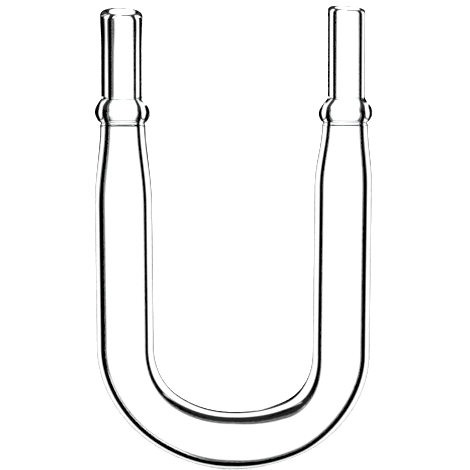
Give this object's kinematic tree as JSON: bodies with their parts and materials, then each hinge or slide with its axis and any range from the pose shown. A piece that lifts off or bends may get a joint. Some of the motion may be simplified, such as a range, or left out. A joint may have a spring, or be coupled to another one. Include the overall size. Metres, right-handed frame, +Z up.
{
  "type": "u-bend airlock tube",
  "caption": "Clear glass U-bend airlock tube: upright legs drawn in to necks, each with a bead and a narrow spigot for hose or stopper.",
  "frame": {"origin": "on the ground point under the lowest part of the bend, midway between the legs", "axes": "+Z up along the legs to the open spigots, +X from the left leg to the right leg, +Y through the U from front to back"},
  "size_m": [0.072, 0.015, 0.1202],
  "materials": {
    "tube_glass": "clear, polished",
    "bead_glass": "clear, fire-polished",
    "spigot_glass": "clear, fire-polished"
  },
  "bodies": {
    "root": {"u_tube": "tube_glass", "left_bead": "bead_glass", "right_bead": "bead_glass", "left_spigot": "spigot_glass", "right_spigot": "spigot_glass"}
  },
  "joints": []
}
